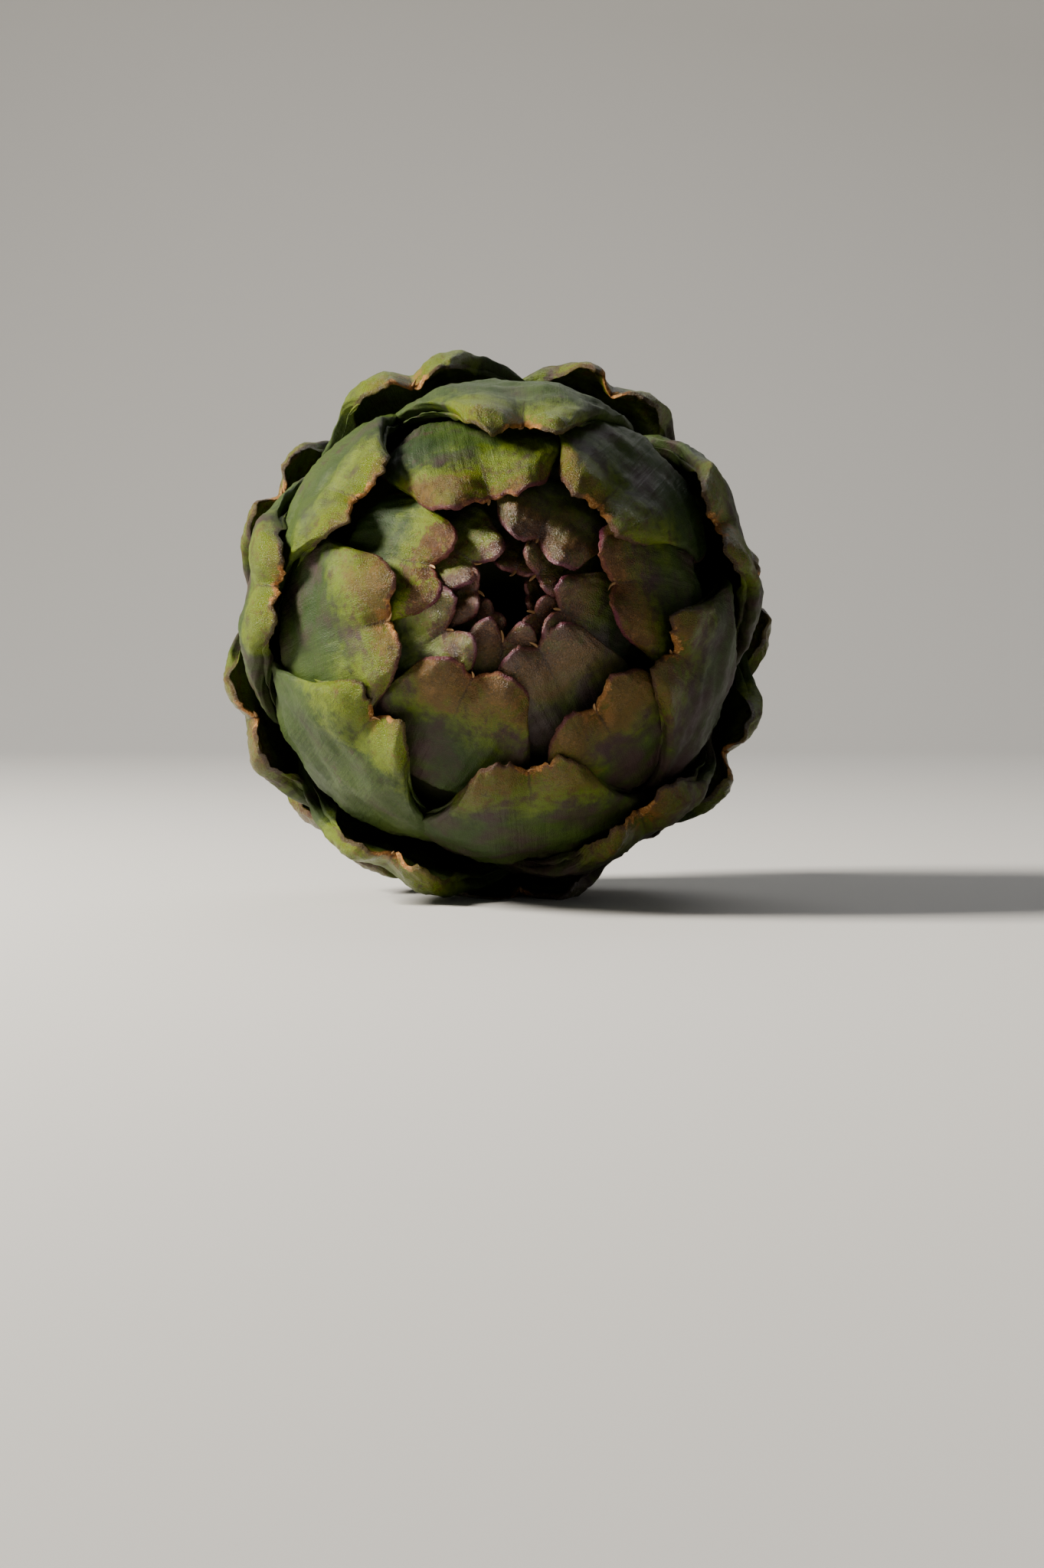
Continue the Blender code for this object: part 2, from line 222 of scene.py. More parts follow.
def rough(p, q, scale, seed):
    """Smooth noise between about -0.5 and 0.5 at each place of a bract."""
    places = np.stack([np.ravel(p) * scale, np.ravel(q) * scale, np.full(np.size(p), seed)], -1)
    values = [noise.noise(Vector(place)) for place in places.tolist()]
    return np.array(values).reshape(np.shape(p))


def tip_edge(p, bract):
    """How far the tip's edge lies back from its furthest reach."""
    side = np.abs(p)
    notch = bract["notch"] * np.clip(1 - side / NOTCH_HALF_WIDTH, 0, 1) ** NOTCH_SHARPNESS
    outward = np.clip((side - NOTCH_HALF_WIDTH) / (1 - NOTCH_HALF_WIDTH), 0, 1)
    rounded = SHOULDER_DROP * (1 - np.sqrt(1 - outward ** 2))
    shoulder = bract["half_width"] * (rounded + POINTED_DROP * bract["pointed"] * outward ** POINTED_POWER)
    near_notch = RAGGED_NOTCH * np.exp(-((side - TORN_PLACE) / TORN_HALF_WIDTH) ** 2)
    own = bract["index"] * EDGE_SEED_STEP
    ragged = RAGGED * rough(p, 0 * p, RAGGED_SCALE, own)
    ragged = ragged + near_notch * rough(p, 0 * p, RAGGED_NOTCH_SCALE, own + 1)
    ragged = ragged + SERRATION * rough(p, 0 * p, SERRATION_SCALE, own + 2)
    worn = YOUNG_WEAR + (1 - YOUNG_WEAR) * min(1.0, bract["index"] / WEAR_COUNT)
    return notch + shoulder + bract["uneven"] * p + bract["half_width"] * worn * ragged


sample = bracts[19]
edges = tip_edge(np.array([0.0, NOTCH_HALF_WIDTH, 1.0]), sample)
print("bract 19: notch, lobe and shoulder lie back", [round(1000 * float(edge), 1) for edge in edges], "mm")

# %% [markdown]
# Behind the lobes a bract swells to its widest and narrows again to the root. Each point also
# needs its distance in from the edge, because the rim rounds off there and its colour changes.

# %% Spreading a bract out
WIDEST_AT, SWELL_POWER = 0.95, 1.3
ROOT_NARROWING = 0.25
POINTED_TAPER, TAPER_REACH = 0.25, 0.4
ROOM_AROUND_STEM = 0.85
CORNER_POWER = 3  # how squarely the distances to the tip and to the side are joined
LEAST_DISTANCE = 1e-6


def spread_out(p, q, bract):
    """How far points lie across the bract, back from its tip and in from its edge."""
    half_width = bract["half_width"]
    swell = np.sin(np.pi * np.clip(q / WIDEST_AT, 0, 1)) ** SWELL_POWER
    profile = 1 + bract["widening"] * swell - ROOT_NARROWING * q * q
    profile = profile * (1 - POINTED_TAPER * bract["pointed"] * np.clip(1 - q / TAPER_REACH, 0, 1) ** 2)
    edge = tip_edge(p, bract)
    back = edge * (1 - q) + bract["length"] * q
    local = HEAD_RADIUS * np.sin(np.maximum(bract["polar"] + back / HEAD_RADIUS, math.pi / 2))
    profile = np.minimum(profile, ROOM_AROUND_STEM * local / half_width)
    to_tip = np.maximum(back - edge, LEAST_DISTANCE)
    to_side = np.maximum((1 - np.abs(p)) * half_width * profile, LEAST_DISTANCE)
    inward = (to_tip ** -CORNER_POWER + to_side ** -CORNER_POWER) ** (-1 / CORNER_POWER)
    return p * half_width * profile, back, inward


_, reach_back, _ = spread_out(np.array([0.0]), np.array([1.0]), sample)
print("bract 19 is", round(1000 * float(reach_back[0])), "mm long")

# %% [markdown]
# The outer face dips under the neighbours towards its root, curls in at the rim, puffs up in two
# cheeks behind the lobes and creases along the middle up to the notch. On top of that form the
# photograph shows soft swellings, fine crinkles near the tip, plump domes on the young lobes, a
# thin ridge along the edge, and lips that turn up by the notch on the older bracts. Those are made
# in the mesh too, so that the outline and the light catch them.

# %% The face of a bract
FLARE_LENGTH = 0.01
STEP_DOWN, STEP_SHARE, STEP_LENGTH, STEP_POWER = 0.0012, 0.12, 1.7, 3
TUCK_LENGTH = 0.014
CUP, CUP_SHARE, POINTED_CUP, CUP_POWER = 0.0006, 0.045, 0.06, 2.4
CURL, CURL_SHARE, CURL_REACH = 0.0005, 0.045, 0.42
GROOVE, GROOVE_HALF_WIDTH, GROOVE_LENGTH = 0.1, 0.15, 0.7
CHEEK, CHEEK_PLACE, CHEEK_HALF_WIDTH, CHEEK_LENGTH = 0.075, 0.48, 0.27, 0.7
PLUNGE, PLUNGE_START = 0.012, 0.78
SWELLING, SWELLING_SCALE = 0.0012, 0.12  # scales are in places per millimetre
DENT, DENT_SCALE = 0.0006, 0.28
CRINKLE, CRINKLE_SCALE, CRINKLE_REACH = 0.0005, 0.55, 9
RIB, RIB_SCALE, RIB_WANDER, RIB_WANDER_SCALE, RIB_START = 0.00007, 4.2, 3, 0.2, 6
LOBE_DOME, DOME_PLACE, DOME_HALF_WIDTH, DOME_LENGTH = 0.001, 0.5, 0.25, 0.65
DOME_START, DOME_FADE = 1.2, 24  # full height up to bract 4, and none from bract 29 on
EDGE_RIDGE, RIDGE_PLACE, RIDGE_HALF_WIDTH = 0.00014, 0.0005, 0.0003
LIP_LIFT, LIP_PLACE, LIP_HALF_WIDTH, LIP_REACH = 0.0006, 0.22, 0.12, 0.0032
LIP_FROM, LIP_COUNT = 14, 6  # lips turn up from the first of these bracts on
FACE_SEED_STEP = 5.3


def outer_depth(p, q, back, inward, bract):
    """How deep the bract's outer face lies below the head's outline."""
    half_width = bract["half_width"]
    share = back / half_width
    levelled = share / (1 + (share / STEP_LENGTH) ** STEP_POWER) ** (1 / STEP_POWER)
    step = (STEP_DOWN + STEP_SHARE * half_width) * levelled
    drop = step + half_width * (bract["slope"] * share + bract["bend"] * share * share)
    tuck = bract["tuck"] * np.clip(1 - back / TUCK_LENGTH, 0, 1) ** 2
    cup = CUP + (CUP_SHARE + POINTED_CUP * bract["pointed"]) * half_width
    cup = cup * np.abs(p) ** CUP_POWER
    curl = (CURL + CURL_SHARE * half_width) * np.clip(1 - inward / (CURL_REACH * half_width), 0, 1) ** 2
    groove = GROOVE * half_width * np.exp(-(p / GROOVE_HALF_WIDTH) ** 2 - share / GROOVE_LENGTH)
    offset = (np.abs(p) - CHEEK_PLACE) / CHEEK_HALF_WIDTH
    cheek = CHEEK * half_width * np.exp(-offset ** 2 - share / CHEEK_LENGTH)
    lift = bract["flare"] * np.exp(-back / FLARE_LENGTH)
    plunge = PLUNGE * np.clip((q - PLUNGE_START) / (1 - PLUNGE_START), 0, 1) ** 2
    return bract["sink"] + drop + tuck + cup + curl + groove + plunge - cheek - lift


def fine_relief(p, q, back, inward, bract):
    """Small swellings, crinkles and ribs on both faces of a bract."""
    half_width = bract["half_width"]
    own = bract["index"] * FACE_SEED_STEP
    across_mm = 1000 * p * half_width
    back_mm = 1000 * back
    swelling = SWELLING * (half_width / WIDEST_BRACT) ** 0.5
    swelling = swelling * rough(across_mm, back_mm, SWELLING_SCALE, own)
    dent = DENT * rough(across_mm, back_mm, DENT_SCALE, own + 3)
    crinkle = np.exp(-back_mm / CRINKLE_REACH) * rough(across_mm, back_mm, CRINKLE_SCALE, own + 2)
    ribs = np.sin(across_mm * RIB_SCALE + RIB_WANDER * rough(across_mm, back_mm, RIB_WANDER_SCALE, own + 4))
    ribs = RIB * ribs * np.clip(back_mm / RIB_START, 0, 1)
    side = np.abs(p)
    old = np.clip((bract["index"] - LIP_FROM) / LIP_COUNT, 0, 1)
    lip = LIP_LIFT * old * np.exp(-((side - LIP_PLACE) / LIP_HALF_WIDTH) ** 2 - (inward / LIP_REACH) ** 2)
    young = np.clip(DOME_START - bract["index"] / DOME_FADE, 0, 1) ** 0.5
    dome = np.exp(-((side - DOME_PLACE) / DOME_HALF_WIDTH) ** 2 - (back / half_width / DOME_LENGTH) ** 2)
    ridge = EDGE_RIDGE * np.exp(-((inward - RIDGE_PLACE) / RIDGE_HALF_WIDTH) ** 2)
    return swelling + dent + CRINKLE * crinkle + ribs - lip - LOBE_DOME * young * dome - ridge


print("relief: swellings", 1000 * SWELLING, "mm, crinkles", 1000 * CRINKLE, "mm")

# %% [markdown]
# A point's place across and back is wrapped round the upright head along great circles, at its
# depth below the outline. A great circle is the straight line of a ball, so the leaf isn't torn.

# %% Wrapping it round the head


def wrap(across, back, depth, bract):
    """Bends points onto the upright head, at their depth below its outline."""
    swing = (across + back * math.sin(bract["roll"])) / HEAD_RADIUS
    polar = bract["polar"] + back / HEAD_RADIUS
    turn = bract["turn"]
    meridian = np.stack([np.sin(polar) * math.cos(turn), np.sin(polar) * math.sin(turn), np.cos(polar)], -1)
    sideways = np.array([-math.sin(turn), math.cos(turn), 0.0])
    direction = np.cos(swing)[..., None] * meridian + np.sin(swing)[..., None] * sideways
    reach = outline_radius(np.arccos(np.clip(direction[..., 2], -1, 1))) - depth
    return direction * reach[..., None] + np.array([0.0, 0.0, WIDEST_Z])


middle_tip = wrap(np.zeros(1), np.zeros(1), np.zeros(1), sample)[0]
print("upright, bract 19's tip is", round(1000 * float(middle_tip[2])), "mm above the stem's cut")

# %% [markdown]
# The finished head is turned onto its side with one matrix. Where it goes is read from the frame,
# so that it can't drift: the packed stem's middle fixes the shift. The lowest bracts are pressed
# flat on the surface, as the weight of the head does.

# %% Laying the head down
AXIS_LIFT = 6.5
AXIS_TURN = 2.0
STEM_RADIUS = 0.0105
STEM_LENGTH = 0.0085


def laid_down():
    lift, turn = math.radians(AXIS_LIFT), math.radians(AXIS_TURN)
    axis = Vector((math.sin(turn) * math.cos(lift), -math.cos(turn) * math.cos(lift), math.sin(lift)))
    right = Vector((0, 0, 1)).cross(axis).normalized()
    return Matrix((right, axis.cross(right), axis)).transposed()


lying = laid_down()
stem_low, stem_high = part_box("stem_stub")
shift = (Vector(stem_low) + Vector(stem_high)) / 2 - lying @ Vector((0, 0, STEM_LENGTH / 2))
head_centre = lying @ Vector((0, 0, WIDEST_Z)) + shift


def to_row(points, lowest=0.0):
    """From the upright head to the frame, pressed flat where it rests."""
    placed = points @ np.array(lying).T + np.array(shift)
    placed[..., 2] = np.maximum(placed[..., 2], lowest)
    return placed


print("the head's centre is", [round(1000 * value, 1) for value in head_centre], "mm")

# %% [markdown]
# Every piece made here is a mesh object. Values that the finish needs, such as how far a point
# lies behind the tip, are stored on the mesh, so that the colours follow the leaf.

# %% Making mesh objects


def mesh_object(name, points, faces, stored=None):
    """A smooth mesh object with its values stored at its points."""
    mesh = bpy.data.meshes.new(name)
    mesh.from_pydata(points.tolist(), [], faces)
    for key, values in (stored or {}).items():
        mesh.attributes.new(key, "FLOAT", "POINT").data.foreach_set("value", values.astype(np.float32))
    bm = bmesh.new()
    bm.from_mesh(mesh)
    bmesh.ops.recalc_face_normals(bm, faces=bm.faces)
    bm.to_mesh(mesh)
    bm.free()
    mesh.shade_smooth()
    made = bpy.data.objects.new(name, mesh)
    bpy.context.scene.collection.objects.link(made)
    return made


# %% [markdown]
# A bract is a closed leaf: an outer face, an inner face one to two and a half millimetres beneath
# it, and a rounded rim between them. The packed bracts are solid blocks, which can only hint at the
# dark slots under the tips. These are thin, so the light and the shadow fall in between as they do
# on the real bud. The grid is closer near the tip, where the shape is.

# %% Building a bract
ACROSS, ALONG = 80, 44
TIP_CROWDING = 1.4
RIM_REACH = 0.0008
CROWN_RIM_REACH, CROWN_RIM_COUNT = 0.0006, 14
RIM_LEFT = 0.00012
BODY_THICKNESS = 0.0026
THICKENING = 0.009
FLOOR_SKIN = 0.0004


def bract_faces():
    """Faces of a closed grid: the outer layer, the inner layer and the rim."""
    deep = ALONG + 1
    layer = (ACROSS + 1) * deep
    faces = []
    for i in range(ACROSS):
        for j in range(ALONG):
            a, b = i * deep + j, (i + 1) * deep + j
            faces.append((a, b, b + 1, a + 1))
            faces.append((layer + a, layer + a + 1, layer + b + 1, layer + b))
    ring = [i * deep for i in range(ACROSS)] + [ACROSS * deep + j for j in range(ALONG)]
    ring += [i * deep + ALONG for i in range(ACROSS, 0, -1)] + [j for j in range(ALONG, 0, -1)]
    for here, there in zip(ring, ring[1:] + ring[:1]):
        faces.append((here, layer + here, layer + there, there))
    return faces


def bract_layers(bract):
    """Points and stored values of one bract, outer layer first."""
    p, q = np.meshgrid(np.sin(np.linspace(-1, 1, ACROSS + 1) * math.pi / 2),
                       np.linspace(0, 1, ALONG + 1) ** TIP_CROWDING, indexing="ij")
    across, back, inward = spread_out(p, q, bract)
    depth = outer_depth(p, q, back, inward, bract) + fine_relief(p, q, back, inward, bract)
    rim = RIM_REACH + CROWN_RIM_REACH * max(0.0, 1 - bract["index"] / CROWN_RIM_COUNT)
    close = np.clip(1 - inward / rim, 0, 1)
    round_off = (1 - np.sqrt(1 - close ** 2)) * (rim - RIM_LEFT) / 2
    thickness = rim + (BODY_THICKNESS - rim) * np.clip(inward / THICKENING, 0, 1)
    outer = to_row(wrap(across, back, depth + round_off, bract))
    inner = to_row(wrap(across, back, depth + thickness - round_off, bract), FLOOR_SKIN)
    to_notch = np.hypot(across, back - bract["notch"])
    values = {"back": back, "inward": inward, "across": across, "to_notch": to_notch}
    stored = {key: np.concatenate([value.ravel()] * 2) for key, value in values.items()}
    return np.concatenate([outer.reshape(-1, 3), inner.reshape(-1, 3)]), stored


print("one bract has", len(bract_faces()), "faces")

# %% [markdown]
# The bracts are joined into four tiers, from the young crown to the old base. Each bract keeps its
# own age and its blush, which is how far the brown spreads on it. The blushes of the bracts that
# show best are judged from the photograph, and the others are drawn.

# %% The tiers of bracts
BLUSHES = (0.5, 0.3, 0.6, 0.75, 0.2, 0.6, 0.6, 0.4, 0.75, 0.5, 0.4, 0.6, 0.3, 0.7, 0.25, 0.3, 0.7, 0.4,
           0.55)
FIRST_BLUSH = 8
BLUSH_SPREAD = (0.25, 0.75)
CROWN_END, SHOULDER_END, FLANK_END = 12, 24, 34


def bract_tier(name, members):
    """One mesh for a run of bracts."""
    draw = random.Random(members[0]["index"])
    pattern = np.array(bract_faces())
    points, faces, stored = [], [], {}
    for place, bract in enumerate(members):
        made, values = bract_layers(bract)
        values["age"] = np.full(len(made), bract["index"] / BRACT_COUNT)
        values["own"] = np.full(len(made), draw.random())
        seen = bract["index"] - FIRST_BLUSH
        blush = BLUSHES[seen] if 0 <= seen < len(BLUSHES) else draw.uniform(*BLUSH_SPREAD)
        values["blush"] = np.full(len(made), blush)
        faces.append(pattern + place * len(made))
        points.append(made)
        for key, value in values.items():
            stored.setdefault(key, []).append(value)
    joined = {key: np.concatenate(value) for key, value in stored.items()}
    return mesh_object(name, np.concatenate(points), np.concatenate(faces).tolist(), joined)


crown_bracts = bract_tier("crown_bracts", bracts[:CROWN_END])
shoulder_bracts = bract_tier("shoulder_bracts", bracts[CROWN_END:SHOULDER_END])
flank_bracts = bract_tier("flank_bracts", bracts[SHOULDER_END:FLANK_END])
base_bracts = bract_tier("base_bracts", bracts[FLANK_END:])
tiers = [crown_bracts, shoulder_bracts, flank_bracts, base_bracts]
print({tier.name: len(tier.data.polygons) for tier in tiers})

# %% [markdown]
# Under the bracts lies the heart. It shows only as darkness between the tips, but it closes the
# gaps, so it is made as a ball that follows the outline, with a pit at the crown.

# %% The heart
CORE_DEPTH = 0.013
CORE_POLE_SHARE = 0.55
CROWN_PIT_DEPTH = 0.020
CROWN_PIT_ANGLE = 10.5
HEART_TURNS, HEART_RINGS = 96, 64


def heart_reach(polar):
    share = CORE_POLE_SHARE + (1 - CORE_POLE_SHARE) * np.abs(np.sin(polar)) ** 0.5
    pit = CROWN_PIT_DEPTH * np.exp(-(np.degrees(polar) / CROWN_PIT_ANGLE) ** 2)
    return outline_radius(polar) - CORE_DEPTH * share - pit


def heart_piece():
    polar, turn = np.meshgrid(np.linspace(0, math.pi, HEART_RINGS + 1)[1:-1],
                              np.arange(HEART_TURNS) * 2 * math.pi / HEART_TURNS, indexing="ij")
    reach = heart_reach(polar)
    points = np.stack([reach * np.sin(polar) * np.cos(turn), reach * np.sin(polar) * np.sin(turn),
                       reach * np.cos(polar) + WIDEST_Z], -1).reshape(-1, 3)
    poles = np.array([[0, 0, WIDEST_Z + float(heart_reach(0.0))],
                      [0, 0, WIDEST_Z - float(heart_reach(math.pi))]])
    top, bottom = len(points), len(points) + 1
    faces = []
    for turned in range(HEART_TURNS):
        after = (turned + 1) % HEART_TURNS
        faces.append((top, turned, after))
        for ring in range(HEART_RINGS - 2):
            a, b = ring * HEART_TURNS, (ring + 1) * HEART_TURNS
            faces.append((a + turned, b + turned, b + after, a + after))
        last = (HEART_RINGS - 2) * HEART_TURNS
        faces.append((bottom, last + after, last + turned))
    return mesh_object("heart", to_row(np.concatenate([points, poles])), faces)


heart = heart_piece()
print("heart", len(heart.data.polygons), "faces")

# %% [markdown]
# Each notch ends in a tiny dry spine, a millimetre or so long, that bends away from the leaf. A
# tapered tube with a curved middle line is enough at this size.

# %% Spines
FIRST_SPINE = 2  # the two innermost bracts have none
SPINE_LENGTH = 0.0019
SPINE_RADIUS, SPINE_TIP_RADIUS = 0.00024, 0.00003
SPINE_SUNK = 0.15  # share of the length that is buried at the foot
SPINE_FOOT, SPINE_AIM = 0.004, 0.12  # where along the bract it stands, and where it points away from
SPINE_DEPTH = 0.0004
SPINE_BEND, SPINE_SWAY, SPINE_SPREAD = (0.3, 1.1), (-0.8, 0.8), (0.6, 1.1)
SPINE_SIDES, SPINE_STEPS = 8, 6


def spine_tube(bract, draw):
    """Points of one bent, tapered spine at the bottom of a bract's notch."""
    here = np.array([0.0])
    foot, aim = np.array([SPINE_FOOT]), np.array([SPINE_AIM])
    places = []
    for q in (foot, aim):
        across, back, inward = spread_out(here, q, bract)
        depth = outer_depth(here, q, back, inward, bract) + SPINE_DEPTH
        places.append(Vector(to_row(wrap(across, back, depth, bract))[0]))
    ahead = (places[0] - places[1]).normalized()
    outward = (places[0] - head_centre).normalized()
    sideways = ahead.cross(outward).normalized()
    bend, sway = draw.uniform(*SPINE_BEND), draw.uniform(*SPINE_SWAY)
    length = SPINE_LENGTH * draw.uniform(*SPINE_SPREAD)
    rings = []
    curve = outward * bend + sideways * sway
    for step in range(SPINE_STEPS + 1):
        share = step / SPINE_STEPS
        middle = places[0] + ahead * length * (share - SPINE_SUNK) + curve * length * share ** 2
        radius = SPINE_RADIUS * (1 - share ** 3) ** 0.5 + SPINE_TIP_RADIUS
        for side in range(SPINE_SIDES):
            angle = 2 * math.pi * side / SPINE_SIDES
            rings.append(middle + radius * (math.cos(angle) * outward + math.sin(angle) * sideways))
    return np.array([point[:] for point in rings])


def spine_faces():
    count = (SPINE_STEPS + 1) * SPINE_SIDES
    faces = [tuple(range(SPINE_SIDES)), tuple(range(count - SPINE_SIDES, count))]
    for step in range(SPINE_STEPS):
        for side in range(SPINE_SIDES):
            after = (side + 1) % SPINE_SIDES
            a, b = step * SPINE_SIDES, (step + 1) * SPINE_SIDES
            faces.append((a + side, a + after, b + after, b + side))
    return faces


def spine_piece():
    draw = random.Random(SEED + 9)
    points, faces = [], []
    for bract in bracts[FIRST_SPINE:]:
        tube = spine_tube(bract, draw)
        tube[:, 2] = np.maximum(tube[:, 2], 0.0)
        start = len(points) * len(tube)
        faces += [tuple(corner + start for corner in face) for face in spine_faces()]
        points.append(tube)
    return mesh_object("spines", np.concatenate(points), faces)


spines = spine_piece()
print("spines", len(spines.data.polygons), "faces")

# %% [markdown]
# The stem is cut off just below the head. It is a short fibrous plug, ribbed round its side. On
# the cut face the pith has dried and sunk a little, and the tougher rind stands proud round it.

# %% Stem
STEM_TURNS = 120
STEM_RIBS = 17
STEM_RIB_HEIGHT = 0.00016
STEM_FACE_RINGS = 26
STEM_SIDE_RINGS = 16
STEM_RIB_POWER = 6  # how late the ribs rise towards the rind
PITH_SINK = 0.00036
PITH_GRAIN, PITH_GRAIN_SCALE, PITH_GRAIN_FADE, GRAIN_AT_RIND = 0.0004, 7, 3, 0.2
RIND_RISE, RIND_POWER = 0.0003, 12
FIRST_RING, FIRST_HEIGHT = 0.02, 0.0004
FACE_SHARE, SIDE_SHARE = 0.97, 0.985  # shares of the stem's radius at the cut face and just above it


def stem_piece():
    face_share = np.linspace(FIRST_RING, 1.0, STEM_FACE_RINGS)
    side_height = np.linspace(FIRST_HEIGHT, STEM_LENGTH, STEM_SIDE_RINGS)
    turn = np.arange(STEM_TURNS) * 2 * math.pi / STEM_TURNS
    rings, shares = [], []
    for share in face_share:
        reach = PITH_GRAIN_SCALE * share
        grain = rough(reach * np.cos(turn), reach * np.sin(turn), 1.0, 3.0)
        sunk = PITH_SINK * (1 - share ** 2)
        sunk = sunk + PITH_GRAIN * grain * min(1.0, PITH_GRAIN_FADE * (1 - share) + GRAIN_AT_RIND)
        rings.append((share * FACE_SHARE, np.maximum(sunk, 0.0) + RIND_RISE * share ** RIND_POWER))
        shares.append(share)
    for height in side_height:
        radius = SIDE_SHARE + (1 - SIDE_SHARE) * height / STEM_LENGTH
        rings.append((radius, np.full(STEM_TURNS, height)))
        shares.append(1.0 + height / STEM_LENGTH)
    points, stored = [], []
    for share, (radius, height) in zip(shares, rings):
        rib = STEM_RIB_HEIGHT * (np.sin(STEM_RIBS * turn) - 1) * min(1.0, share) ** STEM_RIB_POWER
        reach = STEM_RADIUS * radius + rib
        points.append(np.stack([reach * np.cos(turn), reach * np.sin(turn), height], -1))
        stored.append(np.full(STEM_TURNS, share))
    faces = [tuple(range(STEM_TURNS))]
    for ring in range(len(points) - 1):
        for turned in range(STEM_TURNS):
            after = (turned + 1) % STEM_TURNS
            a, b = ring * STEM_TURNS, (ring + 1) * STEM_TURNS
            faces.append((a + turned, a + after, b + after, b + turned))
    faces.append(tuple(range((len(points) - 1) * STEM_TURNS, len(points) * STEM_TURNS)))
    values = {"from_middle": np.concatenate(stored)}
    return mesh_object("cut_stem", to_row(np.concatenate(points)), faces, values)


cut_stem = stem_piece()
print("stem", len(cut_stem.data.polygons), "faces")

# %% [markdown]
# A finish is wired from a few kinds of node over and over: a stored value, a noise, a soft step
# between two levels, and a mix of two colours. A small helper keeps those short to write.

# %% Wiring helper
STREAKS_APART = 50.0  # so far apart that no two bracts share their streaks


class Finish:
    """A material and short ways to wire its nodes."""

    def __init__(self, name, **sockets):
        self.material = bpy.data.materials.new(name)
        self.material.use_nodes = True
        self.tree = self.material.node_tree
        self.shader = self.tree.nodes["Principled BSDF"]
        for key, value in sockets.items():
            self.shader.inputs[key.replace("_", " ")].default_value = value

    def put(self, value, socket):
        if isinstance(value, bpy.types.NodeSocket):
            self.tree.links.new(value, socket)
        elif isinstance(value, tuple):
            socket.default_value = (*value, 1.0)
        else:
            socket.default_value = value

    def stored(self, name):
        node = self.tree.nodes.new("ShaderNodeAttribute")
        node.attribute_name = name
        return node.outputs["Fac"]

    def noise(self, scale, detail=4.0, roughness=0.55, stretch=(1, 1, 1)):
        where = self.tree.nodes.new("ShaderNodeTexCoord").outputs["Object"]
        mapping = self.tree.nodes.new("ShaderNodeMapping")
        mapping.inputs["Scale"].default_value = stretch
        self.put(where, mapping.inputs["Vector"])
        node = self.tree.nodes.new("ShaderNodeTexNoise")
        node.inputs["Scale"].default_value = scale
        node.inputs["Detail"].default_value = detail
        node.inputs["Roughness"].default_value = roughness
        self.put(mapping.outputs["Vector"], node.inputs["Vector"])
        return node.outputs["Fac"]

    def leaf_noise(self, across_scale, back_scale, detail=3.0):
        """Noise in the leaf's own across and back directions, in places per metre."""
        node = self.tree.nodes.new("ShaderNodeCombineXYZ")
        self.put(self.work("MULTIPLY", self.stored("across"), across_scale), node.inputs["X"])
        self.put(self.work("MULTIPLY", self.stored("back"), back_scale), node.inputs["Y"])
        self.put(self.work("MULTIPLY", self.stored("own"), STREAKS_APART), node.inputs["Z"])
        texture = self.tree.nodes.new("ShaderNodeTexNoise")
        texture.inputs["Scale"].default_value = 1.0
        texture.inputs["Detail"].default_value = detail
        self.put(node.outputs["Vector"], texture.inputs["Vector"])
        return texture.outputs["Fac"]

    def step(self, value, start, end, low=0.0, high=1.0):
        node = self.tree.nodes.new("ShaderNodeMapRange")
        node.interpolation_type = "SMOOTHSTEP"
        for socket, given in zip(("Value", "From Min", "From Max", "To Min", "To Max"),
                                 (value, start, end, low, high)):
            self.put(given, node.inputs[socket])
        return node.outputs["Result"]

    def work(self, operation, first, second):
        node = self.tree.nodes.new("ShaderNodeMath")
        node.operation = operation
        self.put(first, node.inputs[0])
        self.put(second, node.inputs[1])
        return node.outputs["Value"]

    def mix(self, share, first, second):
        node = self.tree.nodes.new("ShaderNodeMix")
        node.data_type = "RGBA"
        self.put(share, node.inputs[0])
        self.put(first, node.inputs[6])
        self.put(second, node.inputs[7])
        return node.outputs[2]

    def bump(self, height, strength, distance):
        node = self.tree.nodes.new("ShaderNodeBump")
        node.inputs["Strength"].default_value = strength
        node.inputs["Distance"].default_value = distance
        self.put(height, node.inputs["Height"])
        self.put(node.outputs["Normal"], self.shader.inputs["Normal"])


print("ways to wire:", ", ".join(name for name in vars(Finish) if not name.startswith("_")))

# %% [markdown]
# The leaf skin changes along each bract and from young to old. The same few values place all its
# colours: how far a point lies behind the tip, in from the edge and from its notch, how old the
# bract is, and its blush. Noises of several sizes break the borders, because a clean gradient looks
# sprayed on. A pair of numbers gives where a change begins and where it ends.

# %% What places the colours
PATCH_SCALE, MOTTLE_SCALE, SPECK_SCALE = 120, 480, 2600  # places per metre
STREAK_SCALES = (1500, 45)  # across and along the leaf
PATCH_WANDER, MOTTLE_WANDER = 0.026, 0.01  # metres that a full swing of the noise moves a border


def leaf_values(skin):
    """The stored values and noises that every layer of a leaf skin uses."""
    names = ("back", "inward", "across", "age", "blush", "to_notch")
    leaf = SimpleNamespace(**{name: skin.stored(name) for name in names})
    leaf.patch = skin.noise(PATCH_SCALE, 4.0, 0.6)
    leaf.mottle = skin.noise(MOTTLE_SCALE, 4.0, 0.7)
    leaf.speck = skin.noise(SPECK_SCALE, 2.0, 0.7)
    leaf.streak = skin.leaf_noise(*STREAK_SCALES)
    leaf.off_patch = skin.work("SUBTRACT", leaf.patch, 0.5)
    leaf.off_mottle = skin.work("SUBTRACT", leaf.mottle, 0.5)
    wander = skin.work("MULTIPLY", leaf.off_mottle, MOTTLE_WANDER)
    wander = skin.work("ADD", skin.work("MULTIPLY", leaf.off_patch, PATCH_WANDER), wander)
    leaf.behind = skin.work("ADD", leaf.back, wander)
    return leaf


